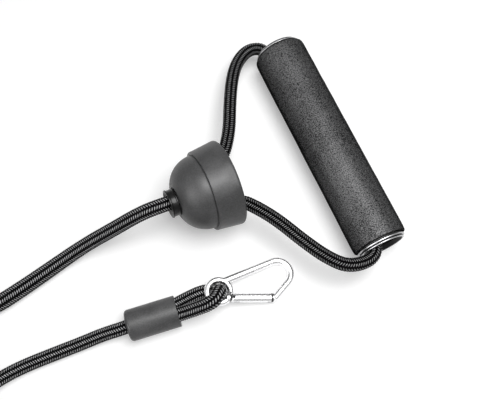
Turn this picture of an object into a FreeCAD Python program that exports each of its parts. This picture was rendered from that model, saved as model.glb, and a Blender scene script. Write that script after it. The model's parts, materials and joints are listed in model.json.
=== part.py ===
"""Resistance band with a foam hand grip, a bell-shaped cord cup and a snap hook.

Millimetres. +Z is up and the floor is z = 0. The grip lies along Y, the cup's
cord leaves towards -X, and the origin is under the middle of the handle and hook.
"""
import FreeCAD, Part
import math
import os

V = FreeCAD.Vector
ORIGIN = V(0, 0, 0)
AXIS_X = V(1, 0, 0)
AXIS_Y = V(0, 1, 0)
AXIS_Z = V(0, 0, 1)

# ---------------------------------------------------------------- dimensions
# Cords: a latex core in a braided sheath.
handle_cord_d = 7.6
band_d = 7.8
channel_gap = 0.3            # free space round a cord in the hole it runs through
bend_share = 0.45            # of the shorter run beside it, taken by each arc
overrun = 1.0                # how far a cutting tool runs past what it cuts

# Hand grip: foam on a stiff tube, closed by two flanged caps.
grip_x = 41.0                # the grip's axis, measured from the origin
tube_d = 25.4
tube_wall = 1.2
foam_wall = 2.8
foam_d = tube_d + 2 * foam_wall
foam_length = 128.0
foam_edge_r = 2.2
fit_gap = 0.05               # radial clearance of pushed-together round parts
cap_plug_wall = 0.9
cap_plug_length = 14.0
cap_overhang = 1.3           # how far the flange reaches past the tube
cap_flange_d = tube_d + 2 * cap_overhang
cap_flange_t = 1.8
cap_mouth_r = 11.7           # of the hole's flared mouth
cap_lip_width = 0.8
cap_lip_height = 0.6
cap_lip_r = 0.3
cap_edge_r = 0.5

# Cup: a dome with a cover pushed over its rim, lying on the floor.
cup_face_x = -20.2           # middle of the cover's face
cup_tilt = 8.2               # degrees: the face looks down, the nose is raised
dome_r = 20.7
seam_gap = 0.1
cover_wall = 1.6             # at the seam
cover_seam_r = dome_r + seam_gap + cover_wall
cover_flare = 1.9            # how much wider the cover is at its face
cover_face_r = cover_seam_r + cover_flare
cover_depth = 15.5
cover_face_t = 2.6
cover_edge_r = 1.6
cover_lip_r = 0.5
dome_crown_r = 16.5
dome_wall = 2.2
dome_nose_depth = 31.0       # from the cover's face to the flat of the nose
dome_rim_gap = 2.0           # between the dome's rim and the back of the face
nose_edge_r = 1.0
bush_r = 7.6
bush_length = 4.6            # how far it stands out of the nose
bush_neck_r = 6.2
bush_bore_r = 4.9            # wide, so the band can leave at a slant
bush_inner_flange_t = 1.6
bush_lip_width = 1.1
bush_lip_height = 1.0
washer_d = 18.0
washer_bore_r = 4.5
washer_t = 1.5
ferrule_wall = 1.6
ferrule_length = 10.0
ferrule_gap = 0.45           # to its washer, since a cord leaves at a slant
handle_washer_d = 13.0

# Crimp sleeve: gathers the band and the returned end of its loop.
sleeve_d = 17.2
sleeve_start = V(-101.0, -47.1, sleeve_d / 2)
sleeve_end = V(-73.5, -50.6, sleeve_d / 2)
sleeve_edge_r = 2.0

# Snap hook: round wire bent into a bow, a closed eye, and a sprung gate.
eye_x = -49.0
eye_y = -50.3
eye_z = 9.15                 # the eye lies on the cord, the bow lies on the floor
eye_ring_r = 6.3
eye_wire_d = 3.6
hook_wire_d = 4.0
spine_y = 4.1                # spine's line, seen from the eye's middle
bow_x = 34.2
bow_y = -3.3
bow_r = 7.4
elbow_x = 26.9               # where the hook's wire turns in line with the gate
elbow_y = -15.0
elbow_r = 3.0
nose_length = 1.5
nose_collar = 0.8            # of the nose's end, as thick as the gate
nose_taper = 1.3
nose_taper_r = 1.6
gate_d = 5.0
gate_pin_x = 6.0
gate_pin_y = -6.4
gate_tail = 1.7              # gate that lies behind its pin
gate_tail_r = 1.8            # rounding that lets the tail turn past the lug
gate_gap = 0.4               # at both ends of the gate
gate_relief = 0.35           # round the gate's tail, where it passes the eye
gate_swing = 20.0            # degrees that the gate opens, towards the spine
gate_slot = 1.6
gate_slot_depth = 2.9        # of the hinge slot, past the pin
tongue_t = 1.3
tongue_r = 1.7
tongue_root = 1.0            # of the tongue, inside the lug
lug_length = 2.2             # of the body's round end, as thick as the gate
lug_edge_r = 0.8
lug_root_r = 1.8
pin_d = 1.5
spring_d = 2.2
spring_wall = 0.45
spring_length = 6.0
plunger_length = 3.0
plunger_gap = 0.2            # between the plunger and the tongue
catch_length = 2.2
catch_width = 2.4
catch_t = 1.2
catch_gap = 0.2              # between the catch and the bottom of its slot

# Coil: the length of band that is put away, tied on its far side. Two turns lie
# side by side on the floor and one lies in the groove between them.
coil_x = -234.0
coil_y = -24.0
coil_r = 44.0                # middle of its turns
coil_height = 15.6
coil_shoulder = 6.5          # height at which the pile starts to narrow
coil_gap = 0.3               # free space between the turns and the solid's faces
tie_width = 12.0
tie_t = 1.2

# --------------------------------------------------------------- cord routes
# Corner points of the cords. Each stretch is straight and each corner an arc.
HANDLE_ROUTE = [
    (-35.1, 10.4, 25.9),
    (-19.5, 11.6, 23.9),
    (-8.0, 26.7, 22.2),
    (0.3, 44.6, 20.0),
    (9.2, 61.0, 17.3),
    (17.7, 70.9, 14.6),
    (27.3, 75.5, 12.9),
    (35.4, 71.8, 12.2),
    (36.0, 56.0, 12.8),
    (38.6, 26.0, 14.0),
    (40.6, 0.0, 16.2),
    (39.4, -26.0, 18.2),
    (38.2, -50.5, 19.3),
    (38.4, -66.2, 20.2),
    (32.1, -71.3, 20.5),
    (18.3, -69.1, 22.6),
    (9.6, -60.3, 23.0),
    (2.2, -46.7, 22.9),
    (-5.0, -31.2, 23.0),
    (-12.0, -20.3, 23.3),
    (-19.5, -11.6, 23.9),
    (-35.1, -10.4, 25.9),
]
BAND_UPPER_ROUTE = [
    (-41.0, 0.0, 26.75),
    (-60.5, 1.0, 29.5),
    (-72.5, 1.9, 26.9),
    (-87.5, 2.7, 19.0),
    (-102.0, 4.0, 10.8),
    (-116.0, 3.4, 5.5),
    (-132.0, 0.3, 4.0),
    (-147.0, -2.7, 4.0),
    (-161.5, -5.3, 4.0),
    (-174.0, -4.8, 4.0),
    (-185.3, -0.7, 4.0),
    (-195.5, 6.2, 4.0),
    (-205.2, 14.2, 4.0),
    (-216.5, 20.6, 4.0),
]
BAND_LOWER_ROUTE = [
    (-221.0, -66.0, 10.7),
    (-209.8, -60.9, 11.2),
    (-198.0, -53.6, 11.9),
    (-185.8, -47.8, 9.6),
    (-173.2, -44.2, 6.2),
    (-160.2, -42.8, 4.3),
    (-144.0, -43.4, 4.0),
    (-128.0, -44.3, 4.0),
    (-114.0, -45.0, 5.6),
    (-102.0, -47.2, 8.5),
    (-90.0, -46.9, 7.6),
    (-78.5, -47.2, 6.7),
    (-67.3, -45.6, 3.9),
    (-57.0, -45.5, 4.0),
    (-51.8, -47.8, 3.9),
    (-48.7, -50.2, 7.4),
    (-48.8, -51.4, 15.2),
    (-54.2, -56.2, 18.1),
    (-66.2, -54.7, 14.4),
    (-73.5, -53.2, 11.8),
    (-86.0, -52.3, 10.8),
]


# ------------------------------------------------------------------- helpers
def rod(start, direction, radius, length):
    return Part.makeCylinder(radius, length, start, direction)


def ring(start, direction, outer_r, inner_r, length):
    """Tube with flat ends."""
    bore = rod(start - direction * overrun, direction, inner_r, length + 2 * overrun)
    return rod(start, direction, outer_r, length).cut(bore)


def turned(outline):
    """Solid of revolution about the X axis from (x, radius) points.

    A point written as (x, radius, via_x, via_radius) is reached by an arc.
    """
    edges = []
    last = V(outline[0][0], outline[0][1], 0)
    for point in list(outline[1:]) + [outline[0][:2]]:
        here = V(point[0], point[1], 0)
        if len(point) == 4:
            edges.append(Part.Arc(last, V(point[2], point[3], 0), here).toShape())
        else:
            edges.append(Part.LineSegment(last, here).toShape())
        last = here
    return Part.Face(Part.Wire(edges)).revolve(ORIGIN, AXIS_X, 360)


def rounded(shape, radius, wanted):
    """Fillet the edges that the test picks."""
    return shape.makeFillet(radius, [edge for edge in shape.Edges if wanted(edge)])


def circle_at(edge, coordinate, place, radius):
    """True for a full circle of this radius whose middle lies at this place."""
    if not isinstance(edge.Curve, Part.Circle):
        return False
    centre = getattr(edge.Curve.Center, coordinate)
    return abs(centre - place) < 0.01 and abs(edge.Curve.Radius - radius) < 0.01


def cord_path(route):
    """Straight runs joined by tangent arcs, with the radius of each arc."""
    points = [V(*point) for point in route]
    edges = []
    radii = []
    start = points[0]
    for before, corner, after in zip(points, points[1:], points[2:]):
        back = before - corner
        ahead = after - corner
        half_turn = (math.pi - back.getAngle(ahead)) / 2
        tangent = bend_share * min(back.Length, ahead.Length)
        radius = tangent / math.tan(half_turn)
        radii.append(radius)
        back.normalize()
        ahead.normalize()
        arc_start = corner + back * tangent
        arc_end = corner + ahead * tangent
        inward = back + ahead
        inward.normalize()
        middle = corner + inward * (radius / math.cos(half_turn) - radius)
        edges.append(Part.LineSegment(start, arc_start).toShape())
        edges.append(Part.Arc(arc_start, middle, arc_end).toShape())
        start = arc_end
    edges.append(Part.LineSegment(start, points[-1]).toShape())
    return Part.Wire(edges), radii


def cord_tube(route, diameter):
    """Solid cord of this diameter along the route."""
    path, _ = cord_path(route)
    start = V(*route[0])
    heading = V(*route[1]) - start
    section = Part.Wire([Part.Circle(start, heading, diameter / 2).toShape()])
    return path.makePipeShell([section], True, False)


def report_cord(name, route, diameter):
    """Print the arc radii, and how the tube's volume compares with its length."""
    path, radii = cord_path(route)
    volume = cord_tube(route, diameter).Volume
    expected = path.Length * math.pi * diameter ** 2 / 4
    listed = " ".join("%.1f" % radius for radius in radii)
    print("%s: %.0f mm long, volume ratio %.4f, radii %s" % (name, path.Length, volume / expected, listed))


# ----------------------------------------------------------------- hand grip
def grip_place(shape):
    """From a grip drawn along X about its middle to its place along Y."""
    shape.rotate(ORIGIN, AXIS_Z, 90)
    shape.translate(V(grip_x, 0, foam_d / 2))
    return shape


def foam_grip():
    half = foam_length / 2
    foam = ring(V(-half, 0, 0), AXIS_X, foam_d / 2, tube_d / 2 + fit_gap, foam_length)
    foam = rounded(foam, foam_edge_r, lambda edge: circle_at(edge, "x", half, foam_d / 2)
                   or circle_at(edge, "x", -half, foam_d / 2))
    return grip_place(foam)


def grip_tube():
    start = V(-foam_length / 2, 0, 0)
    return grip_place(ring(start, AXIS_X, tube_d / 2, tube_d / 2 - tube_wall, foam_length))


def end_cap(side):
    """Flanged cap: its plug sits in the tube and a raised lip rings its flared hole."""
    plug_r = tube_d / 2 - tube_wall - fit_gap
    bore_r = plug_r - cap_plug_wall
    lip_r = cap_mouth_r + cap_lip_width
    face = cap_flange_t + cap_lip_height
    cap = turned([
        (-cap_plug_length, bore_r),
        (0, bore_r),
        (face, cap_mouth_r),
        (face, lip_r),
        (cap_flange_t, lip_r),
        (cap_flange_t, cap_flange_d / 2),
        (0, cap_flange_d / 2),
        (0, plug_r),
        (-cap_plug_length, plug_r),
    ])
    cap = rounded(cap, cap_lip_r, lambda edge: circle_at(edge, "x", face, cap_mouth_r)
                  or circle_at(edge, "x", face, lip_r))
    cap = rounded(cap, cap_edge_r, lambda edge: circle_at(edge, "x", cap_flange_t, cap_flange_d / 2))
    cap.translate(V(foam_length / 2, 0, 0))
    if side < 0:
        cap.rotate(ORIGIN, AXIS_Z, 180)
    return grip_place(cap)


# ----------------------------------------------------------------------- cup
def cup_face_height():
    """Height of the face's middle when the filleted rim touches the floor."""
    tilt = math.radians(cup_tilt)
    slope = (cover_face_r - cover_seam_r) / cover_depth
    fillet_centre_r = cover_face_r - cover_edge_r * (slope + math.hypot(1, slope))
    return fillet_centre_r * math.cos(tilt) + cover_edge_r * (1 - math.sin(tilt))


def cup_place(shape):
    """From a cup drawn along X, with its face at x = 0, to its place."""
    shape.rotate(ORIGIN, AXIS_Y, cup_tilt)
    shape.translate(V(cup_face_x, 0, cup_face_height()))
    return shape


def crown(radius, crown_r, seam_x, x):
    """Radius of the dome at x, on the arc that starts level at the seam."""
    return radius - crown_r + math.sqrt(crown_r ** 2 - (seam_x - x) ** 2)


def cup_dome():
    nose_x = -dome_nose_depth
    seam_x = -cover_depth
    inner_x = nose_x + dome_wall
    inner_r = dome_r - dome_wall
    inner_crown = dome_crown_r - dome_wall
    rim_x = -(cover_face_t + dome_rim_gap)
    outer_via = (seam_x + nose_x) / 2
    inner_via = (seam_x + inner_x) / 2
    dome = turned([
        (rim_x, dome_r),
        (seam_x, dome_r),
        (nose_x, crown(dome_r, dome_crown_r, seam_x, nose_x),
         outer_via, crown(dome_r, dome_crown_r, seam_x, outer_via)),
        (nose_x, bush_neck_r + fit_gap),
        (inner_x, bush_neck_r + fit_gap),
        (inner_x, crown(inner_r, inner_crown, seam_x, inner_x)),
        (seam_x, inner_r, inner_via, crown(inner_r, inner_crown, seam_x, inner_via)),
        (rim_x, inner_r),
    ])
    nose_r = crown(dome_r, dome_crown_r, seam_x, nose_x)
    dome = rounded(dome, nose_edge_r, lambda edge: circle_at(edge, "x", nose_x, nose_r))
    return cup_place(dome)


def cup_cover():
    bore_r = dome_r + seam_gap
    cover = turned([
        (0, 0),
        (0, cover_face_r),
        (-cover_depth, cover_seam_r),
        (-cover_depth, bore_r),
        (-cover_face_t, bore_r),
        (-cover_face_t, 0),
    ])
    cover = rounded(cover, cover_edge_r, lambda edge: circle_at(edge, "x", 0, cover_face_r))
    cover = rounded(cover, cover_lip_r, lambda edge: circle_at(edge, "x", -cover_depth, cover_seam_r))
    return cup_place(cover).cut(cord_tube(HANDLE_ROUTE, handle_cord_d + 2 * channel_gap))


def nose_bush():
    """Grommet in the nose: outer collar with a lip, neck and inner flange."""
    nose_x = -dome_nose_depth
    inner_x = nose_x + dome_wall + fit_gap
    outer_x = nose_x - bush_length
    bush = turned([
        (inner_x + bush_inner_flange_t, bush_bore_r),
        (inner_x + bush_inner_flange_t, bush_r),
        (inner_x, bush_r),
        (inner_x, bush_neck_r),
        (nose_x - fit_gap, bush_neck_r),
        (nose_x - fit_gap, bush_r),
        (outer_x, bush_r),
        (outer_x, bush_r - bush_lip_width),
        (outer_x + bush_lip_height, bush_r - 2 * bush_lip_width),
        (outer_x + bush_lip_height, bush_bore_r),
    ])
    return cup_place(bush)


def washer_back():
    """Local x of the washer's face that the band's ferrule pulls against."""
    return -dome_nose_depth + dome_wall + fit_gap + bush_inner_flange_t + washer_t


def band_washer():
    start = V(washer_back() - washer_t, 0, 0)
    return cup_place(ring(start, AXIS_X, washer_d / 2, washer_bore_r, washer_t))


def inner_end(route, cup_x):
    """Where a cord's end in the cup crosses this local x, and its way further in."""
    face = V(cup_face_x, 0, cup_face_height())
    tilt = math.radians(cup_tilt)
    cup_axis = V(math.cos(tilt), 0, -math.sin(tilt))
    last = V(*route[0])
    inward = last - V(*route[1])
    inward.normalize()
    short = cup_x - (last - face).dot(cup_axis)
    return last + inward * (short / inward.dot(cup_axis)), inward, cup_axis


def end_ferrule(route, diameter, cup_x):
    """Sleeve crimped on a cord's end, with its mouth at this local x."""
    mouth, inward, _ = inner_end(route, cup_x)
    return rod(mouth, inward, diameter / 2 + ferrule_wall, ferrule_length).cut(cord_tube(route, diameter))


def handle_end(side):
    """The handle cord's route, from the end in the cup on this side."""
    return HANDLE_ROUTE[::side]


def handle_end_ferrule(side):
    return end_ferrule(handle_end(side), handle_cord_d, -cover_face_t - washer_t - ferrule_gap)


def band_end_ferrule():
    return end_ferrule(BAND_UPPER_ROUTE, band_d, washer_back() + ferrule_gap)


def handle_washers():
    """Two washers behind the face, one round each cord."""
    pair = []
    for side in (1, -1):
        middle, _, cup_axis = inner_end(handle_end(side), -cover_face_t - washer_t)
        disc = rod(middle, cup_axis, handle_washer_d / 2, washer_t)
        pair.append(disc.cut(cord_tube(HANDLE_ROUTE, handle_cord_d + 2 * channel_gap)))
    return Part.makeCompound(pair)


# ------------------------------------------------------------- coil and sleeve
def coil_pile():
    """Outer shape of the three turns together."""
    centre = V(coil_x, coil_y, 0)
    reach = band_d + coil_gap
    top_reach = band_d / 2 + coil_gap
    corners = [(-reach, 0), (reach, 0), (reach, coil_shoulder), (top_reach, coil_height),
               (-top_reach, coil_height), (-reach, coil_shoulder), (-reach, 0)]
    section = Part.makePolygon([centre + V(coil_r + across, 0, up) for across, up in corners])
    return Part.Face(section).revolve(centre, AXIS_Z, 360)


def coil_tie():
    """Strap closed round the turns on the side away from the cup."""
    across = 2 * (band_d + coil_gap)
    strap = Part.makeBox(across + 2 * tie_t, tie_width, coil_height + tie_t,
                         V(coil_x - coil_r - across / 2 - tie_t, coil_y - tie_width / 2, 0))
    return strap.cut(coil_pile())


def crimp_sleeve():
    direction = sleeve_end - sleeve_start
    sleeve = rod(sleeve_start, direction, sleeve_d / 2, direction.Length)
    sleeve = rounded(sleeve, sleeve_edge_r, lambda edge: isinstance(edge.Curve, Part.Circle)
                     and edge.Curve.Center.distanceToPoint(sleeve_start) < 0.01)
    return sleeve.cut(cord_tube(BAND_LOWER_ROUTE, band_d))


# ----------------------------------------------------------------- snap hook
def hook_tilt():
    """Degrees that the hook slopes down from its raised eye to its bow."""
    return math.degrees(math.asin((eye_z - hook_wire_d / 2) / (bow_x + bow_r)))


def hook_place(shape):
    """From a hook drawn flat about its eye to its place on the cord."""
    shape.rotate(ORIGIN, AXIS_Y, hook_tilt())
    shape.translate(V(eye_x, eye_y, eye_z))
    return shape


def gate_line():
    """Unit vector along the closed gate, from its pin to the elbow."""
    line = V(elbow_x - gate_pin_x, elbow_y - gate_pin_y, 0)
    line.normalize()
    return line


def gate_length():
    """From the pin to the gate's free end."""
    reach = V(elbow_x - gate_pin_x, elbow_y - gate_pin_y, 0).Length
    return reach - nose_length - gate_gap


def plate(middle_line_start, direction, length, width, thickness):
    """Flat bar centred on a line in the hook's plane."""
    bar = Part.makeBox(length, width, thickness, V(0, -width / 2, -thickness / 2))
    bar.rotate(ORIGIN, AXIS_Z, math.degrees(math.atan2(direction.y, direction.x)))
    bar.translate(middle_line_start)
    return bar


def hook_wire():
    """Spine, bow, elbow and nose as one bent wire."""
    pin = V(gate_pin_x, gate_pin_y, 0)
    bow = V(bow_x, bow_y, 0)
    elbow = V(elbow_x, elbow_y, 0)
    line = gate_line()
    to_elbow = elbow - bow
    lean = math.atan2(to_elbow.y, to_elbow.x) + math.acos(bow_r / to_elbow.Length)
    leave = bow + V(math.cos(lean), math.sin(lean), 0) * bow_r
    leg = elbow - leave
    leg.normalize()
    half_turn = (math.pi - (leg * -1).getAngle(line * -1)) / 2
    tangent = elbow_r * math.tan(half_turn)
    corner_in = elbow - leg * tangent
    corner_out = elbow - line * tangent
    inward = leg * -1 - line
    inward.normalize()
    corner_via = elbow + inward * (elbow_r / math.cos(half_turn) - elbow_r)
    nose_tip = pin + line * (gate_length() + gate_gap)
    far_angle = (lean + math.pi / 2) / 2
    spine_start = V(math.sqrt(eye_ring_r ** 2 - spine_y ** 2), spine_y, 0)
    path = Part.Wire([
        Part.LineSegment(spine_start, V(bow_x, bow_y + bow_r, 0)).toShape(),
        Part.Arc(V(bow_x, bow_y + bow_r, 0),
                 bow + V(math.cos(far_angle), math.sin(far_angle), 0) * bow_r, leave).toShape(),
        Part.LineSegment(leave, corner_in).toShape(),
        Part.Arc(corner_in, corner_via, corner_out).toShape(),
        Part.LineSegment(corner_out, nose_tip).toShape(),
    ])
    section = Part.Wire([Part.Circle(spine_start, AXIS_X, hook_wire_d / 2).toShape()])
    return path.makePipeShell([section], True, False)


def carabiner_body():
    pin = V(gate_pin_x, gate_pin_y, 0)
    line = gate_line()
    lug_end = pin - line * (gate_tail + gate_gap)
    relief = rod(lug_end, line, gate_d / 2 + gate_relief, gate_tail + gate_slot_depth)
    swung_relief = relief.copy()
    swung_relief.rotate(pin, AXIS_Z, gate_swing)
    eye = Part.makeTorus(eye_ring_r, eye_wire_d / 2).cut([relief, swung_relief])
    toward_eye = lug_end * (eye_ring_r / lug_end.Length) - lug_end
    lug_back = lug_end - line * lug_length
    lug = rounded(rod(lug_back, line, gate_d / 2, lug_length), lug_edge_r,
                  lambda edge: isinstance(edge.Curve, Part.Circle)
                  and edge.Curve.Center.distanceToPoint(lug_back) < 0.01)
    root = rod(lug_end - line * (lug_length / 2), toward_eye, lug_root_r, toward_eye.Length)
    nose_tip = pin + line * (gate_length() + gate_gap)
    nose = rod(nose_tip, line, gate_d / 2, nose_collar)
    taper = Part.makeCone(gate_d / 2, nose_taper_r, nose_taper, nose_tip + line * nose_collar, line)
    tongue = plate(lug_end - line * tongue_root, line, tongue_root + gate_gap + gate_tail,
                   2 * tongue_r, tongue_t)
    tongue = tongue.fuse(rod(pin - AXIS_Z * (tongue_t / 2), AXIS_Z, tongue_r, tongue_t))
    catch = plate(pin + line * (gate_length() - catch_length), line,
                  catch_length + gate_gap + nose_length, catch_width, catch_t)
    body = eye.fuse([hook_wire(), lug, root, nose, taper, tongue, catch])
    body = body.cut(rod(pin - AXIS_Z * gate_d, AXIS_Z, pin_d / 2 + fit_gap, 2 * gate_d))
    opening = rod(V(0, 0, -gate_d), AXIS_Z, eye_ring_r - eye_wire_d / 2, 2 * gate_d)
    return hook_place(body.cut(opening).removeSplitter())


def plunger_start():
    """Where the plunger begins, just clear of the tongue that it presses."""
    return V(gate_pin_x, gate_pin_y, 0) + gate_line() * (tongue_r + plunger_gap)


def carabiner_gate():
    pin = V(gate_pin_x, gate_pin_y, 0)
    line = gate_line()
    start = pin - line * gate_tail
    gate = rod(start, line, gate_d / 2, gate_tail + gate_length())
    gate = rounded(gate, gate_tail_r, lambda edge: isinstance(edge.Curve, Part.Circle)
                   and edge.Curve.Center.distanceToPoint(start) < 0.01)
    hinge_slot = plate(start - line * overrun, line, overrun + gate_tail + gate_slot_depth,
                       2 * gate_d, gate_slot)
    nose_slot = plate(pin + line * (gate_length() - catch_length - catch_gap), line,
                      catch_length + catch_gap + overrun, 2 * gate_d, gate_slot)
    well = rod(plunger_start(), line, spring_d / 2 + fit_gap, plunger_length + spring_length)
    pin_bore = rod(pin - AXIS_Z * gate_d, AXIS_Z, pin_d / 2 + fit_gap, 2 * gate_d)
    return hook_place(gate.cut([hinge_slot, nose_slot, well, pin_bore]))


def gate_pin():
    pin = V(gate_pin_x, gate_pin_y, 0)
    return hook_place(rod(pin - AXIS_Z * (gate_d / 2), AXIS_Z, pin_d / 2, gate_d))


def gate_plunger():
    return hook_place(rod(plunger_start(), gate_line(), spring_d / 2, plunger_length))


def gate_spring():
    start = plunger_start() + gate_line() * plunger_length
    return hook_place(ring(start, gate_line(), spring_d / 2, spring_d / 2 - spring_wall, spring_length))


# -------------------------------------------------------------------- export
def export(name, shape):
    shape.exportStep("parts/%s.step" % name)
    print("%s: %d solid(s), %.0f mm3, valid %s" % (name, len(shape.Solids), shape.Volume, shape.isValid()))


os.makedirs("parts", exist_ok=True)
report_cord("handle cord", HANDLE_ROUTE, handle_cord_d)
report_cord("band, cup to coil", BAND_UPPER_ROUTE, band_d)
report_cord("band, coil to loop end", BAND_LOWER_ROUTE, band_d)

export("foam_grip", foam_grip())
export("grip_tube", grip_tube())
export("end_cap_upper", end_cap(1))
export("end_cap_lower", end_cap(-1))
export("handle_cord", cord_tube(HANDLE_ROUTE, handle_cord_d))
export("cup_dome", cup_dome())
export("cup_cover", cup_cover())
export("nose_bush", nose_bush())
export("band_washer", band_washer())
export("band_end_ferrule", band_end_ferrule())
export("handle_end_ferrule_upper", handle_end_ferrule(1))
export("handle_end_ferrule_lower", handle_end_ferrule(-1))
export("handle_washers", handle_washers())
export("band_cord_upper", cord_tube(BAND_UPPER_ROUTE, band_d).cut(coil_pile()))
export("band_coil", coil_pile())
export("coil_tie", coil_tie())
export("band_cord_lower", cord_tube(BAND_LOWER_ROUTE, band_d).cut(coil_pile()))
export("crimp_sleeve", crimp_sleeve())
export("carabiner_body", carabiner_body())
export("carabiner_gate", carabiner_gate())
export("gate_pin", gate_pin())
export("gate_plunger", gate_plunger())
export("gate_spring", gate_spring())
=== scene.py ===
"""Looks of a resistance band with a foam hand grip, a cord cup and a snap hook.

Metres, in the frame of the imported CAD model: the floor is z = 0, the grip lies
along Y, and the band leaves the cup towards -X.
"""

import json
import math

import bpy
import numpy
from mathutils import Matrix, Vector

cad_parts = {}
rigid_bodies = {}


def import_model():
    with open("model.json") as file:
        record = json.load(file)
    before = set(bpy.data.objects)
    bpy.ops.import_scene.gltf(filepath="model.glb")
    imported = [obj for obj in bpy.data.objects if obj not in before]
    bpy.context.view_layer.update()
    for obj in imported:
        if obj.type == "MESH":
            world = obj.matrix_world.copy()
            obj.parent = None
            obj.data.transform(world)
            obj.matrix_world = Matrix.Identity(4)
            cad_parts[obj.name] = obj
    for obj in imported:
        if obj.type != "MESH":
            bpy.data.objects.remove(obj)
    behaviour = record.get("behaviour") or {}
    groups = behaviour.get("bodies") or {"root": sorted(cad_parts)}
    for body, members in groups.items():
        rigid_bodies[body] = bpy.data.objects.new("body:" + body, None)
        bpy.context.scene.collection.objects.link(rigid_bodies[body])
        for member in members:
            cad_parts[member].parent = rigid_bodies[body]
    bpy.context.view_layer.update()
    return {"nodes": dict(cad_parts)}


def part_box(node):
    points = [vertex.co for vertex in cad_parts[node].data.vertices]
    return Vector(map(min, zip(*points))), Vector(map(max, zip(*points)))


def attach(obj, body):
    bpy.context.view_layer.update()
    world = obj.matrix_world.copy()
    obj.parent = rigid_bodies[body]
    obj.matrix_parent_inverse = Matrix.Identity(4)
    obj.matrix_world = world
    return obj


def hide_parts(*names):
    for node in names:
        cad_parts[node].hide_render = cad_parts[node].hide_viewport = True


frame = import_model()
bpy.context.scene.view_settings.view_transform = "Standard"

# ------------------------------------------------------------------ camera
# A table-top view from above, along the band and a little from the side.
# The camera sees the handle, the cup, the hook and the first stretch of band.
camera_place = Vector((-0.06724, -0.13004, 0.40399))
camera_target = Vector((-0.01076, -0.00723, 0.0))
camera_data = bpy.data.cameras.new("camera")
camera_data.lens = 53.28
camera = bpy.data.objects.new("camera", camera_data)
camera.location = camera_place
camera.rotation_euler = (camera_target - camera_place).to_track_quat("-Z", "Y").to_euler()
bpy.context.scene.collection.objects.link(camera)
bpy.context.scene.camera = camera

# ------------------------------------------------------------- handle cord
# One length of elastic cord in a glossy black braided sheath. Both ends are
# crimped inside the cup, and its middle runs through the hand grip.
HANDLE_ROUTE = [
    (-0.0351, 0.0104, 0.0259),
    (-0.0195, 0.0116, 0.0239),
    (-0.0080, 0.0267, 0.0222),
    (0.0003, 0.0446, 0.0200),
    (0.0092, 0.0610, 0.0173),
    (0.0177, 0.0709, 0.0146),
    (0.0273, 0.0755, 0.0129),
    (0.0354, 0.0718, 0.0122),
    (0.0360, 0.0560, 0.0128),
    (0.0386, 0.0260, 0.0140),
    (0.0406, 0.0000, 0.0162),
    (0.0394, -0.0260, 0.0182),
    (0.0382, -0.0505, 0.0193),
    (0.0372, -0.0658, 0.0200),
    (0.0308, -0.0713, 0.0205),
    (0.0178, -0.0695, 0.0226),
    (0.0096, -0.0603, 0.0230),
    (0.0022, -0.0467, 0.0229),
    (-0.0050, -0.0312, 0.0230),
    (-0.0120, -0.0203, 0.0233),
    (-0.0195, -0.0116, 0.0239),
    (-0.0351, -0.0104, 0.0259),
]
braid_columns = 8           # rows of slanted floats round the sheath
braid_pitch = 0.00125       # from one float to the next in a row
braid_lean = 1.0            # how far a float leans across its row, in pitches
column_relief = 0.00050     # depth of the furrow between two rows
float_relief = 0.00045      # depth of the dip between two floats
rings_per_pitch = 4
points_per_column = 3
handle_width = 0.0078


def centre_line(route):
    """Closely spaced points on the smooth line that the route's points pull on."""
    curve = bpy.data.curves.new("route", "CURVE")
    curve.dimensions = "3D"
    curve.resolution_u = 24     # points between two points of the route
    spline = curve.splines.new("NURBS")
    spline.points.add(len(route) - 1)
    for point, place in zip(spline.points, route):
        point.co = (*place, 1)
    spline.order_u = 3
    spline.use_endpoint_u = True
    holder = bpy.data.objects.new("route", curve)
    line = bpy.data.meshes.new_from_object(holder)
    points = numpy.array([vertex.co for vertex in line.vertices])
    bpy.data.objects.remove(holder)
    bpy.data.curves.remove(curve)
    bpy.data.meshes.remove(line)
    return points


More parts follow.
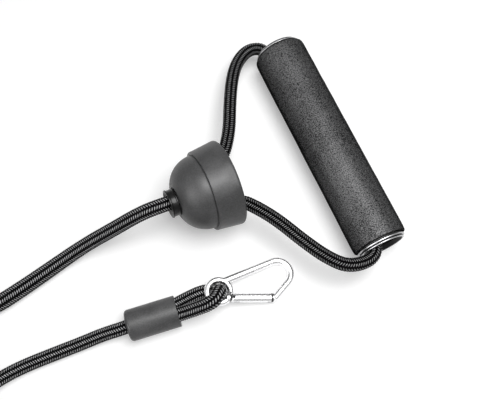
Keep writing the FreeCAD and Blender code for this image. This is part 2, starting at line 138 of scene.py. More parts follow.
def braided_cord(name, route, widths):
    """Sheathed cord along the route; widths lists (share of its length, diameter).

    Its rings of points lean to and fro with the floats, and the floats of every
    second row sit half a pitch further on.
    """
    line = centre_line(route)
    runs = numpy.linalg.norm(numpy.diff(line, axis=0), axis=1)
    reached = numpy.concatenate([[0], numpy.cumsum(runs)])
    ways = numpy.gradient(line, reached, axis=0)
    ways /= numpy.linalg.norm(ways, axis=1)[:, None]
    sides = numpy.zeros_like(ways)
    side = numpy.array([0.0, 0.0, 1.0])
    for number, way in enumerate(ways):
        side = side - way * side.dot(way)
        side /= numpy.linalg.norm(side)
        sides[number] = side
    ups = numpy.cross(ways, sides)

    around = braid_columns * points_per_column
    column = numpy.arange(around) // points_per_column
    in_column = numpy.arange(around) % points_per_column / points_per_column
    leaning = numpy.where(column % 2 == 0, 1, -1) * (in_column - 0.5) * braid_lean * braid_pitch
    margin = braid_lean * braid_pitch / 2
    rings = round((reached[-1] - 2 * margin) / braid_pitch * rings_per_pitch)
    steps = numpy.linspace(margin, reached[-1] - margin, rings + 1)
    along = steps[:, None] + leaning[None, :]
    phase = numpy.arange(rings + 1)[:, None] / rings_per_pitch + (column % 2)[None, :] / 2

    def at(values):
        return numpy.stack([numpy.interp(along, reached, values[:, axis]) for axis in range(3)], -1)

    angle = (column + in_column) / braid_columns * math.tau
    bulge = numpy.sin(math.pi * in_column)[None, :]
    crest = numpy.abs(numpy.sin(math.pi * phase))
    width = numpy.interp(along / reached[-1], *zip(*widths))
    radius = width / 2 - column_relief * (1 - bulge) - float_relief * bulge * (1 - crest)
    places = (at(line) + (radius * numpy.cos(angle))[:, :, None] * at(sides)
              + (radius * numpy.sin(angle))[:, :, None] * at(ups)).reshape(-1, 3)
    start_middle = len(places)
    end_middle = start_middle + 1
    places = numpy.vstack([places, line[:1], line[-1:]])

    faces = []
    patterns = []
    for ring in range(rings):
        for step in range(around):
            after = (step + 1) % around
            here = ring * around
            there = here + around
            faces.append((here + step, here + after, there + after, there + step))
            low = ring / rings_per_pitch + (column[step] % 2) / 2
            high = low + 1 / rings_per_pitch
            left, right = step / points_per_column, (step + 1) / points_per_column
            patterns.extend([(left, low), (right, low), (right, high), (left, high)])
    last = rings * around
    for step in range(around):
        after = (step + 1) % around
        faces.append((after, step, start_middle))
        faces.append((last + step, last + after, end_middle))
        patterns.extend([(0, 0)] * 6)
    mesh = bpy.data.meshes.new(name)
    mesh.from_pydata(places.tolist(), [], faces)
    layer = mesh.uv_layers.new(name="braid")
    layer.data.foreach_set("uv", numpy.array(patterns, numpy.float32).ravel())
    mesh.polygons.foreach_set("use_smooth", [True] * len(mesh.polygons))
    mesh.update()
    cord = bpy.data.objects.new(name, mesh)
    bpy.context.scene.collection.objects.link(cord)
    return cord, line


def node_adder(tree):
    """A function that adds a node to the tree, with its sockets set or linked."""
    def add(kind, sockets=(), **settings):
        node = tree.nodes.new(kind)
        for setting, value in settings.items():
            setattr(node, setting, value)
        for socket, value in dict(sockets).items():
            if isinstance(value, bpy.types.NodeSocket):
                tree.links.new(value, node.inputs[socket])
            else:
                node.inputs[socket].default_value = value
        return node
    return add


def start_material(name):
    """A new material, its shader, and functions that add nodes and feed the shader."""
    material = bpy.data.materials.new(name)
    material.use_nodes = True
    tree = material.node_tree
    shader = tree.nodes["Principled BSDF"]

    def feed(socket, source):
        tree.links.new(source, shader.inputs[socket])

    return material, shader, node_adder(tree), feed


def math_chain(add):
    """A function that adds a math node and gives its result."""
    def work(operation, first, second=0.0, third=0.0):
        sockets = {0: first, 1: second, 2: third}
        return add("ShaderNodeMath", sockets, operation=operation).outputs[0]
    return work


def ranged(add, amount, start, end, low, high):
    """A value that goes from low to high as the amount goes from start to end."""
    return add("ShaderNodeMapRange", {0: amount, 1: start, 2: end, 3: low, 4: high}).outputs[0]


def shade_between(add, amount, low, high, dark, light):
    """A colour that goes from dark to light as the amount goes from low to high."""
    ramp = add("ShaderNodeValToRGB", {0: amount})
    ramp.color_ramp.elements[0].position = low
    ramp.color_ramp.elements[0].color = (*dark, 1)
    ramp.color_ramp.elements[1].position = high
    ramp.color_ramp.elements[1].color = (*light, 1)
    return ramp.outputs[0]


def braid_material(name, painted_highlight_level):
    """Black yarn: shiny slanted floats whose crests are coloured pale as a painted highlight, with
    painted shade between them.
    """
    material, shader, add, feed = start_material(name)
    work = math_chain(add)
    pattern = add("ShaderNodeUVMap", uv_map="braid").outputs[0]
    parts = add("ShaderNodeSeparateXYZ", {0: pattern})
    in_row = work("FRACT", parts.outputs[0])
    bulge = work("POWER", work("SINE", work("MULTIPLY", in_row, math.pi)), 0.5)
    crest = work("ABSOLUTE", work("SINE", work("MULTIPLY", parts.outputs[1], math.pi)))
    height = work("MULTIPLY", crest, bulge)
    stretched = add("ShaderNodeMapping", {0: pattern, 3: (1.3, 9.0, 1.0)}).outputs[0]
    fuzz = add("ShaderNodeTexNoise", {"Vector": stretched, "Scale": 1.0, "Detail": 3.0}).outputs[0]
    relief = work("MULTIPLY_ADD", fuzz, 0.35, height)
    bump = add("ShaderNodeBump", {"Strength": 1.0, "Distance": 0.0003, "Height": relief})
    thread = work("MULTIPLY_ADD", fuzz, 0.3, height)
    # The pale crest colour is a painted highlight, and the near-black colour between the floats is
    # painted shade; the black Specular Tint in the furrows paints their gloss out as shade too.
    shade = (painted_highlight_level * 0.012, painted_highlight_level * 0.012, painted_highlight_level * 0.013)
    shine = (painted_highlight_level, painted_highlight_level, painted_highlight_level * 1.02)
    black, white = (0, 0, 0), (1, 1, 1)
    feed("Base Color", shade_between(add, thread, low=0.84, high=1.13, dark=shade, light=shine))
    feed("Roughness", ranged(add, height, start=0.4, end=1.0, low=0.9, high=0.3))
    feed("Specular Tint", shade_between(add, height, low=0.65, high=1.0, dark=black, light=white))
    feed("Normal", bump.outputs[0])
    feed("Tangent", add("ShaderNodeTangent", direction_type="UV_MAP", uv_map="braid").outputs[0])
    shader.inputs["Specular IOR Level"].default_value = 0.9
    shader.inputs["Anisotropic"].default_value = 0.8
    shader.inputs["Anisotropic Rotation"].default_value = 0.25
    return material


handle_widths = [(0, handle_width), (1, handle_width)]
handle_cord, handle_line = braided_cord("handle_cord_braid", HANDLE_ROUTE, handle_widths)
# The handle cord has the band's own sheath. Its smaller value gives a weaker painted highlight, so it
# is painted darker where less light falls on it.
handle_cord.data.materials.append(braid_material("handle_braid", painted_highlight_level=0.17))
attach(handle_cord, "band")
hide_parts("handle_cord")

# -------------------------------------------------------------------- band
# The long elastic cord, in the same sheath. It is crimped off inside the cup,
# lies loose, is wound into a tied coil, and comes back to loop round the hook.
BAND_UPPER_ROUTE = [
    (-0.0410, 0.0000, 0.02675),
    (-0.0605, 0.0010, 0.0295),
    (-0.0725, 0.0019, 0.0269),
    (-0.0875, 0.0027, 0.0190),
    (-0.1020, 0.0040, 0.0108),
    (-0.1160, 0.0030, 0.0061),
    (-0.1320, -0.0002, 0.0050),
    (-0.1470, -0.0034, 0.0050),
    (-0.1615, -0.0060, 0.0050),
    (-0.1740, -0.0054, 0.0048),
    (-0.1853, -0.0009, 0.0042),
    (-0.1955, 0.0062, 0.0040),
    (-0.2052, 0.0142, 0.0040),
    (-0.2165, 0.0206, 0.0040),
]
BAND_LOWER_ROUTE = [
    (-0.2210, -0.0660, 0.0107),
    (-0.2098, -0.0609, 0.0112),
    (-0.1980, -0.0536, 0.0119),
    (-0.1858, -0.0478, 0.0096),
    (-0.1732, -0.0442, 0.0062),
    (-0.1602, -0.0428, 0.0043),
    (-0.1440, -0.0434, 0.0040),
    (-0.1280, -0.0443, 0.0040),
    (-0.1140, -0.0450, 0.0056),
    (-0.1020, -0.0472, 0.0085),
    (-0.0900, -0.0469, 0.0076),
    (-0.0785, -0.0472, 0.0067),
    (-0.0673, -0.0456, 0.0039),
    (-0.0570, -0.0455, 0.0040),
    (-0.0518, -0.0478, 0.0039),
    (-0.0487, -0.0502, 0.0074),
    (-0.0488, -0.0514, 0.0152),
    (-0.0542, -0.0562, 0.0181),
    (-0.0662, -0.0547, 0.0144),
    (-0.0735, -0.0532, 0.0118),
    (-0.0860, -0.0523, 0.0108),
]
band_width = 0.0078
coil_middle = (-0.234, -0.024)
# Where each turn lies: (degrees round the middle, distance from it, height).
coil_stations = [
    (68.6, 0.0479, 0.0040),
    (150, 0.0479, 0.0040),
    (172, 0.0479, 0.0051),
    (188, 0.0479, 0.0051),
    (210, 0.0479, 0.0040),
    (350, 0.0479, 0.0040),
    (425, 0.0401, 0.0040),
    (510, 0.0401, 0.0040),
    (532, 0.0401, 0.0051),
    (548, 0.0401, 0.0051),
    (570, 0.0401, 0.0040),
    (655, 0.0401, 0.0040),
    (685, 0.0404, 0.0075),
    (705, 0.0418, 0.0105),
    (725, 0.0436, 0.0117),
    (765, 0.0440, 0.0117),
    (800, 0.0440, 0.01065),
    (870, 0.0440, 0.01065),
    (892, 0.0440, 0.01165),
    (908, 0.0440, 0.01165),
    (930, 0.0440, 0.01065),
    (1007.2, 0.0440, 0.01065),
]
coil_step = 20              # degrees between two points of the wound part


def coil_turns():
    """Points of the wound part, between the two loose stretches."""
    turned, out, height = zip(*coil_stations)
    points = []
    count = round((turned[-1] - turned[0]) / coil_step)
    for number in range(1, count):
        degrees = turned[0] + (turned[-1] - turned[0]) * number / count
        reach = float(numpy.interp(degrees, turned, out))
        place = math.radians(degrees)
        points.append((coil_middle[0] + reach * math.cos(place),
                       coil_middle[1] + reach * math.sin(place),
                       float(numpy.interp(degrees, turned, height))))
    return points


band_route = BAND_UPPER_ROUTE + coil_turns() + BAND_LOWER_ROUTE
# The slack band is thicker than the wound part: (share of the length, diameter).
band_widths = [(0, 0.0084), (0.06, 0.0085), (0.085, 0.0091), (0.115, 0.0097),
               (0.14, band_width), (0.94, band_width), (0.96, 0.0082), (1, 0.0082)]
band, band_line = braided_cord("band_braid", band_route, band_widths)
# The band's larger value gives a stronger painted highlight, so it is a lighter painted copy of the
# handle cord's sheath.
band.data.materials.append(braid_material("band_braid", painted_highlight_level=0.36))
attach(band, "band")
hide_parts("band_cord_upper", "band_coil", "band_cord_lower")

# -------------------------------------------------------------- coil strap
# A strip of black hook-and-loop webbing, wrapped once round the three turns
# and pressed down on itself, so the put-away length stays in its coil.
strap_gauge = 0.0009
strap_slack = 0.0001        # between the strap and the cord, and between its two layers
strap_edge = 0.00015        # rounding of the webbing's edges
strap_rib = 0.0008          # from one rib of the webbing to the next
strap_corners = 32          # of the round bends where it goes about a turn
smooth_angle = math.radians(40)     # edges sharper than this stay sharp
strap_low, strap_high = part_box("coil_tie")
strap_middle = (strap_low.y + strap_high.y) / 2
strap_width = strap_high.y - strap_low.y
strap_reach = band_width / 2 + strap_slack
# The three turns that the strap goes round: (distance from the middle, height).
tied_turns = [(0.0479, 0.0051), (0.0440, 0.01165), (0.0401, 0.0051)]


def grain(add, size, detail, stretch=(1, 1, 1)):
    """Noise with grains of about this size, drawn out where stretch is small."""
    place = add("ShaderNodeTexCoord").outputs["Object"]
    scaled = add("ShaderNodeMapping", {0: place, 3: stretch}).outputs[0]
    sockets = {"Vector": scaled, "Scale": 1 / size, "Detail": detail}
    return add("ShaderNodeTexNoise", sockets).outputs[0]


def webbing_material():
    """Ribbed black webbing with a fuzzy nap."""
    material, shader, add, feed = start_material("webbing")
    work = math_chain(add)
    place = add("ShaderNodeSeparateXYZ", {0: add("ShaderNodeTexCoord").outputs["Object"]})
    rib = work("ABSOLUTE", work("SINE", work("MULTIPLY", place.outputs[1], math.pi / strap_rib)))
    nap = grain(add, size=0.0005, detail=5.0)
    height = work("MULTIPLY_ADD", nap, 0.8, rib)
    bump = add("ShaderNodeBump", {"Strength": 0.8, "Distance": 0.0003, "Height": height})
    black, dusty = (0.004, 0.004, 0.004), (0.05, 0.05, 0.052)
    feed("Base Color", shade_between(add, height, low=0.3, high=1.2, dark=black, light=dusty))
    feed("Normal", bump.outputs[0])
    shader.inputs["Roughness"].default_value = 0.9
    shader.inputs["Sheen Weight"].default_value = 0.3
    return material


bpy.ops.object.select_all(action="DESELECT")
for out, height in tied_turns:
    bpy.ops.mesh.primitive_cylinder_add(vertices=strap_corners, radius=strap_reach, depth=strap_width,
                                        location=(coil_middle[0] - out, strap_middle, height),
                                        rotation=(math.pi / 2, 0, 0))
    bpy.context.object.name = "coil_strap"
for piece in bpy.context.scene.objects:
    piece.select_set(piece.name.startswith("coil_strap"))
bpy.ops.object.join()
strap = bpy.context.object
strap.name = "coil_strap"
bpy.ops.object.transform_apply(location=True, rotation=True, scale=True)
bpy.ops.object.mode_set(mode="EDIT")
bpy.ops.mesh.select_all(action="SELECT")
bpy.ops.mesh.convex_hull()
bpy.ops.mesh.dissolve_limited(angle_limit=math.radians(0.5))
bpy.ops.mesh.select_mode(type="FACE")
bpy.ops.mesh.select_all(action="DESELECT")
bpy.ops.object.mode_set(mode="OBJECT")
for face in strap.data.polygons:            # the two flat ends of the hull
    face.select = abs(face.normal.y) > 0.9
bpy.ops.object.mode_set(mode="EDIT")
bpy.ops.mesh.delete(type="ONLY_FACE")
bpy.ops.object.mode_set(mode="OBJECT")
for face in strap.data.polygons:            # the top and outer side get a second layer
    face.select = face.normal.x < 0.3 and face.normal.z > 0.1
bpy.ops.object.mode_set(mode="EDIT")
bpy.ops.mesh.duplicate()
bpy.ops.transform.shrink_fatten(value=-strap_gauge - strap_slack)
bpy.ops.object.mode_set(mode="OBJECT")
wall = strap.modifiers.new("wall", "SOLIDIFY")
wall.thickness = strap_gauge
wall.offset = 1
bpy.ops.object.modifier_apply(modifier="wall")
edge = strap.modifiers.new("edge", "BEVEL")
edge.width = strap_edge
edge.segments = 2
bpy.ops.object.modifier_apply(modifier="edge")
bpy.ops.object.shade_smooth_by_angle(angle=smooth_angle)
strap.data.materials.clear()
strap.data.materials.append(webbing_material())
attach(strap, "band")
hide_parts("coil_tie")

# ------------------------------------------------------------ crimp sleeve
# A moulded rubber sleeve. It hides the crimp that holds the returned end of
# the band beside the band itself, so that the end makes a closed loop.


def finish_part(name, material):
    """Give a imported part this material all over."""
    for slot in frame["nodes"][name].material_slots:
        slot.material = material


def moulded_material(name, colour, roughness, size, relief, gloss=0.5):
    """Moulded rubber or plastic: a grain of this size and height, and handled patches."""
    material, shader, add, feed = start_material(name)
    work = math_chain(add)
    fine = grain(add, size, detail=3.0)
    broad = grain(add, size=0.009, detail=3.0)
    mixed = work("ADD", work("SUBTRACT", broad, 0.5), fine)
    dark = [channel * 0.75 for channel in colour]
    light = [channel * 1.25 for channel in colour]
    bump = add("ShaderNodeBump", {"Strength": 0.6, "Distance": relief, "Height": fine})
    handled = ranged(add, broad, start=0.3, end=0.7, low=roughness - 0.06, high=roughness + 0.08)
    feed("Base Color", shade_between(add, mixed, low=0.3, high=0.7, dark=dark, light=light))
    feed("Roughness", handled)
    feed("Normal", bump.outputs[0])
    shader.inputs["Specular IOR Level"].default_value = gloss
    return material


sleeve_rubber = moulded_material("sleeve_rubber", (0.066, 0.066, 0.067), roughness=0.42,
                                 size=0.0007, relief=0.00006)
finish_part("crimp_sleeve", sleeve_rubber)

# --------------------------------------------------------------- hand grip
# A sleeve of black closed-cell foam on a stiff plastic tube, cut to length and
# pinched at its ends by two black plastic caps, each with two satin plated bands.
# The caps' plugs are pressed into the tube, and the handle cord runs through.
grip_x = 0.041
foam_low, foam_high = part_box("foam_grip")
foam_radius = (foam_high.x - foam_low.x) / 2
foam_half = foam_high.y
foam_gap = 0.0005           # between the foam's ends and the caps' flanges
grip_axis = Vector((grip_x, 0, foam_radius))
foam_bore = 0.01275
foam_core = foam_bore + 0.001   # points further out than this lie on the outside
foam_pinch = 0.0003         # how much thinner the foam is at its ends
pinch_reach = 0.0042        # how far the pinch goes along the foam
foam_edge = 0.0005          # rounding of the outer edges
foam_skin = 0.00005         # height of the cells that show on the surface
foam_lumps = 0.0003         # height of the broad unevenness
foam_steps = 196            # points round the foam
foam_cuts = 255             # points along its outside
bore_cuts = 31              # points along its bore
foam_near = 0.0002          # points closer than this to a line lie on it
# What makes the skin uneven: (name, size of a grain, height, share that goes inwards).
foam_skins = (("cells", 0.0006, 2 * foam_skin, 0.5), ("lumps", 0.012, foam_lumps, 0.75))


def close_mesh(gap):
    """Merge points that lie closer than the gap, face the mesh out and end the edit."""
    bpy.ops.mesh.select_all(action="SELECT")
    bpy.ops.mesh.remove_doubles(threshold=gap)
    bpy.ops.mesh.normals_make_consistent(inside=False)
    bpy.ops.object.mode_set(mode="OBJECT")


bpy.ops.object.select_all(action="DESELECT")
foam_middle = (grip_x + (foam_bore + foam_radius) / 2, 0, foam_radius)
bpy.ops.mesh.primitive_plane_add(size=1, location=foam_middle)
foam = bpy.context.object
foam.name = "foam_sleeve"
foam.scale = (foam_radius - foam_skin - foam_bore, 2 * (foam_half - foam_gap), 1)
bpy.ops.object.transform_apply(location=True, rotation=True, scale=True)
bpy.ops.object.mode_set(mode="EDIT")
bpy.ops.mesh.select_all(action="SELECT")
bpy.ops.mesh.delete(type="ONLY_FACE")
bpy.ops.mesh.select_mode(type="EDGE")
for side, cuts in ((foam_radius, foam_cuts), (foam_bore, bore_cuts)):
    bpy.ops.mesh.select_all(action="DESELECT")
    bpy.ops.object.mode_set(mode="OBJECT")
    for line in foam.data.edges:
        ends = [foam.data.vertices[end].co for end in line.vertices]
        line.select = all(abs(end.x - grip_x - side) < foam_near for end in ends)
    bpy.ops.object.mode_set(mode="EDIT")
    bpy.ops.mesh.subdivide(number_cuts=cuts)
bpy.ops.object.mode_set(mode="OBJECT")
for point in foam.data.vertices:
    near_end = 1 - min(1, (foam_half - abs(point.co.y)) / pinch_reach)
    if point.co.x > grip_x + foam_core:
        point.co.x -= foam_pinch * near_end ** 2
bpy.ops.object.mode_set(mode="EDIT")
bpy.ops.mesh.select_mode(type="VERT")
bpy.ops.mesh.select_all(action="DESELECT")
bpy.ops.object.mode_set(mode="OBJECT")
for point in foam.data.vertices:
    from_end = abs(foam_half - foam_gap - abs(point.co.y))
    point.select = from_end < foam_near and point.co.x > grip_x + foam_core
bpy.ops.object.mode_set(mode="EDIT")
bpy.ops.mesh.bevel(offset=foam_edge, segments=3, affect="VERTICES")
bpy.ops.mesh.select_all(action="SELECT")
bpy.ops.mesh.spin(steps=foam_steps, angle=math.tau, center=grip_axis, axis=(0, 1, 0))
close_mesh(0.00001)
outside = foam.vertex_groups.new(name="outside")
for point in foam.data.vertices:
    out = math.hypot(point.co.x - grip_x, point.co.z - foam_radius)
    if out > foam_core:
        outside.add([point.index], 1, "REPLACE")
for name, size, height, level in foam_skins:
    pattern = bpy.data.textures.new(name, "CLOUDS")
    pattern.noise_scale = size
    pattern.noise_depth = 2
    skin = foam.modifiers.new(name, "DISPLACE")
    skin.texture = pattern
    skin.texture_coords = "LOCAL"
    skin.strength = height
    skin.mid_level = level
    skin.vertex_group = "outside"
    bpy.ops.object.modifier_apply(modifier=name)
bpy.ops.object.shade_smooth()


def foam_material():
    """Black foam rubber: cut cells as dark specks between rubbed, satin cell walls."""
    material, shader, add, feed = start_material("foam")
    work = math_chain(add)
    cells = grain(add, size=0.00055, detail=2.0)
    specks = grain(add, size=0.0003, detail=2.0)
    rubbed = grain(add, size=0.02, detail=2.0)
    height = work("MULTIPLY_ADD", specks, 0.6, cells)
    tone = work("MULTIPLY_ADD", work("SUBTRACT", rubbed, 0.5), 0.2, height)
    bump = add("ShaderNodeBump", {"Strength": 0.7, "Distance": 0.00008, "Height": height})
    hollow, rubbed_wall = (0.001, 0.001, 0.0012), (0.147, 0.147, 0.149)
    feed("Base Color", shade_between(add, tone, low=0.63, high=0.95, dark=hollow, light=rubbed_wall))
    feed("Normal", bump.outputs[0])
    shader.inputs["Roughness"].default_value = 0.5
    shader.inputs["Specular IOR Level"].default_value = 0.0
    shader.inputs["Metallic"].default_value = 0.65
    shader.inputs["Specular Tint"].default_value = (0.0, 0.0, 0.0, 1)
    return material


foam.data.materials.clear()
foam.data.materials.append(foam_material())
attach(foam, "grip")
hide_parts("foam_grip")

tube_plastic = moulded_material("tube_plastic", (0.03, 0.03, 0.03), roughness=0.4,
                                size=0.0012, relief=0.00005)
finish_part("grip_tube", tube_plastic)


def metal_material(name, colour, roughness, size, relief):
    """Bare metal: scratches of this size and depth, and patches that are duller."""
    material, shader, add, feed = start_material(name)
    scratch = grain(add, size, detail=5.0)
    patch = grain(add, size=0.006, detail=3.0)
    dark = [channel * 0.9 for channel in colour]
    bump = add("ShaderNodeBump", {"Strength": 0.5, "Distance": relief, "Height": scratch})
    duller = ranged(add, scratch, start=0.3, end=0.7, low=roughness - 0.05, high=roughness + 0.08)
    feed("Base Color", shade_between(add, patch, low=0.35, high=0.65, dark=dark, light=colour))
    feed("Roughness", duller)
    feed("Normal", bump.outputs[0])
    shader.inputs["Metallic"].default_value = 1.0
    return material


ring_corners = 96           # of the circle that a turned piece is drawn out from


def turned_piece(name, outline, start, way, edge_width):
    """A ring drawn out from a circle: outline lists (distance along way, radius)."""
    bpy.ops.object.select_all(action="DESELECT")
    turn = way.to_track_quat("Z", "Y").to_euler()
    bpy.ops.mesh.primitive_circle_add(vertices=ring_corners, radius=outline[0][1], rotation=turn,
                                      location=start + way * outline[0][0])
    ring = bpy.context.object
    ring.name = name
    bpy.ops.object.transform_apply(location=True, rotation=True, scale=True)
    bpy.ops.object.mode_set(mode="EDIT")
    bpy.ops.mesh.select_all(action="SELECT")
    for (before, narrow), (after, wide) in zip(outline, outline[1:]):
        step = way * (after - before)
        bpy.ops.mesh.extrude_edges_move(TRANSFORM_OT_translate={"value": step})
        growth = wide / narrow
        bpy.ops.transform.resize(value=(growth, growth, growth), center_override=start + way * after)
    bpy.ops.mesh.select_all(action="DESELECT")
    bpy.ops.mesh.select_non_manifold()
    bpy.ops.mesh.bridge_edge_loops()
    close_mesh(0.000001)
    rounding = ring.modifiers.new("rounding", "BEVEL")
    rounding.width = edge_width
    rounding.segments = 3
    rounding.limit_method = "ANGLE"
    bpy.ops.object.modifier_apply(modifier="rounding")
    bpy.ops.object.mode_set(mode="EDIT")
    close_mesh(0.000002)
    bpy.ops.object.shade_smooth_by_angle(angle=smooth_angle)
    ring.data.materials.clear()
    return ring


# The cap's section: (distance out from the foam's end, radius).
cap_outline = [
    (-0.0140, 0.0103), (0.0002, 0.0103), (0.0024, 0.0121),
    (0.0024, 0.0129), (0.0020, 0.0130), (0.0016, 0.0129), (0.0012, 0.0128),
    (0.0012, 0.0139), (0.0006, 0.0140), (0.0001, 0.0135), (0, 0.0112), (-0.0140, 0.0112),
]
cap_edge = 0.00012
# Where the cap is plated: (from, to, out beyond this radius).
plated_bands = ((0.00055, 0.00125, 0.0131), (0.0020, 0.0025, 0.0120))
cap_black = moulded_material("cap_black", (0.004, 0.004, 0.004), roughness=0.5,
                             size=0.0009, relief=0.00003, gloss=0.2)
plated_plastic = metal_material("plated_plastic", (0.5, 0.5, 0.51), roughness=0.36,
                                size=0.0006, relief=0.00001)
for side, place in ((1, "upper"), (-1, "lower")):
    cap_start = Vector((grip_x, side * foam_half, foam_radius))
    cap = turned_piece("grip_cap_" + place, cap_outline, cap_start, Vector((0, side, 0)), cap_edge)
    cap.data.materials.append(cap_black)
    cap.data.materials.append(plated_plastic)
    for face in cap.data.polygons:
        along = side * (face.center.y - cap_start.y)
        out = math.hypot(face.center.x - grip_x, face.center.z - foam_radius)
        for low, high, inner in plated_bands:
            if low < along < high and out > inner:
                face.material_index = 1
    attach(cap, "grip")
    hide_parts("end_cap_" + place)

# --------------------------------------------------------------------- cup
# A dome and a flared cover moulded in satin black rubber, the cover pushed over
# the dome's rim. A glossy plastic bush lines the hole where the band leaves.
cup_rubber = moulded_material("cup_rubber", (0.055, 0.055, 0.056), roughness=0.45,
                              size=0.0008, relief=0.00007)
finish_part("cup_dome", cup_rubber)
finish_part("cup_cover", cup_rubber)

cup_tilt = math.radians(8.2)
cup_face = Vector((-0.0202, 0, 0.02363))
cup_way = Vector((-math.cos(cup_tilt), 0, math.sin(cup_tilt)))
bush_edge = 0.00015
# The bush's section: (distance from the cup's face, radius).
bush_outline = [
    (0.0270, 0.0049), (0.0270, 0.0076), (0.0286, 0.0076), (0.0286, 0.0062), (0.0312, 0.0062),
    (0.0312, 0.0079), (0.0319, 0.0079), (0.0321, 0.0074), (0.0347, 0.0074), (0.0349, 0.0078),
    (0.0356, 0.0078), (0.0357, 0.0070), (0.0347, 0.0056), (0.0346, 0.0049),
]
bush_plastic = moulded_material("bush_plastic", (0.003, 0.003, 0.003), roughness=0.3,
                                size=0.001, relief=0.00001, gloss=0.3)
bush = turned_piece("cup_bush", bush_outline, cup_face, cup_way, bush_edge)
bush.data.materials.append(bush_plastic)
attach(bush, "band")
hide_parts("nose_bush")

crimped_alloy = metal_material("crimped_alloy", (0.72, 0.72, 0.73), roughness=0.3,
                               size=0.0008, relief=0.00004)
washer_steel = metal_material("washer_steel", (0.56, 0.56, 0.57), roughness=0.32,
                              size=0.0006, relief=0.00004)
for ferrule in ("band_end_ferrule", "handle_end_ferrule_upper", "handle_end_ferrule_lower"):
    finish_part(ferrule, crimped_alloy)
for washer in ("band_washer", "handle_washers"):
    finish_part(washer, washer_steel)

# --------------------------------------------------------------- snap hook
# Bent and cast alloy wire, tumbled to a bright polish, with a turned gate on a
# blackened rivet. The gate's spring and plunger are bare spring steel. Dark grime
# sits in the joints at both ends of the gate.
pin_place = Vector((-0.04309, -0.05670, 0.00812))
gate_way = Vector((0.91101, -0.38053, -0.15894))
joint_places = (-0.0019, 0.0209)    # of the gate's two ends, along it from its pin
joint_width = 0.00042
joint_reach = 0.0034                # how far grime goes from the gate's middle line
joint_fade = 0.0004                 # and how far it thins out beyond that


def grimy_metal(name):
    """Bright alloy with dark grime in the gate's joints."""
    material, shader, add, feed = start_material(name)
    work = math_chain(add)
    place = add("ShaderNodeTexCoord").outputs["Object"]
    offset = add("ShaderNodeVectorMath", {0: place, 1: pin_place}, operation="SUBTRACT").outputs[0]
    measured = add("ShaderNodeVectorMath", {0: offset, 1: gate_way}, operation="DOT_PRODUCT")
    along = measured.outputs["Value"]
    grime = 0.0
    for joint in joint_places:
        away = work("ABSOLUTE", work("SUBTRACT", along, joint))
        mark = ranged(add, away, start=joint_width, end=joint_width * 1.5, low=1.0, high=0.0)
        grime = work("MAXIMUM", grime, mark)
    beside = add("ShaderNodeVectorMath", {0: gate_way, 3: along}, operation="SCALE").outputs[0]
    across = add("ShaderNodeVectorMath", {0: offset, 1: beside}, operation="SUBTRACT").outputs[0]
    reach = add("ShaderNodeVectorMath", {0: across}, operation="LENGTH").outputs["Value"]
    near = ranged(add, reach, start=joint_reach, end=joint_reach + joint_fade, low=1.0, high=0.0)
    grime = work("MULTIPLY", grime, near)
    scratch = grain(add, size=0.0005, detail=5.0, stretch=(1, 0.3, 1))
    bump = add("ShaderNodeBump", {"Strength": 0.4, "Distance": 0.00001, "Height": scratch})
    bright, dirty = (0.93, 0.93, 0.935), (0.02, 0.02, 0.02)
    feed("Base Color", shade_between(add, grime, low=0.0, high=1.0, dark=bright, light=dirty))
    feed("Metallic", work("SUBTRACT", 1.0, grime))
    feed("Roughness", ranged(add, scratch, start=0.3, end=0.7, low=0.24, high=0.34))
    feed("Normal", bump.outputs[0])
    return material


bright_alloy = grimy_metal("bright_alloy")
rivet_steel = metal_material("rivet_steel", (0.03, 0.03, 0.03), roughness=0.55,
                             size=0.0005, relief=0.00003)
spring_steel = metal_material("spring_steel", (0.3, 0.3, 0.31), roughness=0.35,
                              size=0.0005, relief=0.00003)
finish_part("carabiner_body", bright_alloy)
finish_part("carabiner_gate", bright_alloy)
finish_part("gate_pin", rivet_steel)
for name in ("gate_plunger", "gate_spring"):
    finish_part(name, spring_steel)

# ------------------------------------------------------- table and lighting
# A plain white table with soft shadows, one large soft lamp and a pale room. The
# table shines white where it is looked at, and throws little light on the object.
bpy.ops.object.select_all(action="DESELECT")
bpy.ops.mesh.primitive_plane_add(size=6.0, location=(0, 0, 0))
table_top = bpy.context.object
table_top.name = "table_top"
paper, shader, add, feed = start_material("white_paper")


def looked_at(add):
    """1 for a ray that comes from the camera, a mirror or a glass, else 0."""
    seen = add("ShaderNodeLightPath").outputs
    work = math_chain(add)
    return work("MAXIMUM", work("MAXIMUM", seen["Is Camera Ray"], seen["Is Glossy Ray"]),
                seen["Is Transmission Ray"])


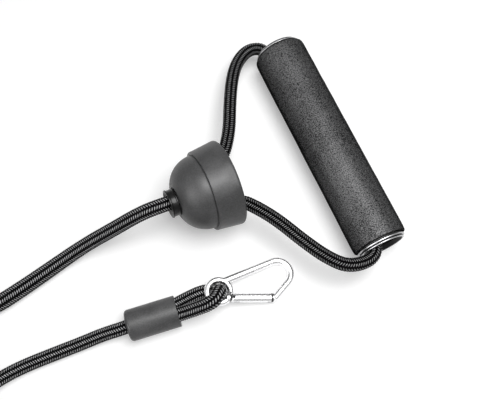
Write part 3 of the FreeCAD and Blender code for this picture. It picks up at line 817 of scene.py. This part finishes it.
direct = looked_at(add)
bounced, looked_on = (0.05, 0.05, 0.05), (0.66, 0.66, 0.66)
feed("Base Color", shade_between(add, direct, low=0.0, high=1.0, dark=bounced, light=looked_on))
spot = add("ShaderNodeTexCoord").outputs["Object"]
away = add("ShaderNodeVectorMath", {0: spot}, operation="LENGTH").outputs["Value"]
# The table shines a little round the object and fully where it is the backdrop.
table_shine = ranged(add, away, start=0.3, end=1.0, low=0.41, high=1.0)
feed("Emission Strength", math_chain(add)("MULTIPLY", direct, table_shine))
shader.inputs["Emission Color"].default_value = (1, 1, 1, 1)
shader.inputs["Roughness"].default_value = 1.0
shader.inputs["Specular IOR Level"].default_value = 0.0
table_top.data.materials.append(paper)

world = bpy.data.worlds.new("room")
bpy.context.scene.world = world
world.use_nodes = True
room = world.node_tree
add_to_room = node_adder(room)
room_level = 0.02                           # what lights the object from all round
window_way = Vector((-0.78, -0.14, 0.61))   # a soft window that shows in gloss only
window_level = 4.5
window_edge, window_core = 0.88, 0.97       # cosines of the angle from its middle
seen = add_to_room("ShaderNodeLightPath").outputs
way = add_to_room("ShaderNodeTexCoord").outputs["Generated"]
height = add_to_room("ShaderNodeSeparateXYZ", {0: way}).outputs[2]
mirrored = ranged(add_to_room, height, start=0.05, end=0.8, low=0.25, high=0.7)
facing = add_to_room("ShaderNodeVectorMath", {0: way, 1: window_way}, operation="DOT_PRODUCT")
window = ranged(add_to_room, facing.outputs["Value"], start=window_edge, end=window_core,
                low=0.0, high=window_level)
work = math_chain(add_to_room)
reflected = work("ADD", mirrored, window)
shown = work("MAXIMUM", work("MULTIPLY", seen["Is Glossy Ray"], reflected),
             work("MAXIMUM", seen["Is Camera Ray"], seen["Is Transmission Ray"]))
room.nodes["Background"].inputs["Color"].default_value = (1, 1, 1, 1)
room.links.new(work("MAXIMUM", shown, room_level), room.nodes["Background"].inputs["Strength"])

lamp_data = bpy.data.lights.new("key_lamp", "AREA")
lamp_data.shape = "DISK"
lamp_data.size = 0.7
lamp_data.energy = 10.8
lamp = bpy.data.objects.new("key_lamp", lamp_data)
lamp.location = (0.18, -0.09, 0.94)
lamp.rotation_euler = (-lamp.location).to_track_quat("-Z", "Y").to_euler()
bpy.context.scene.collection.objects.link(lamp)
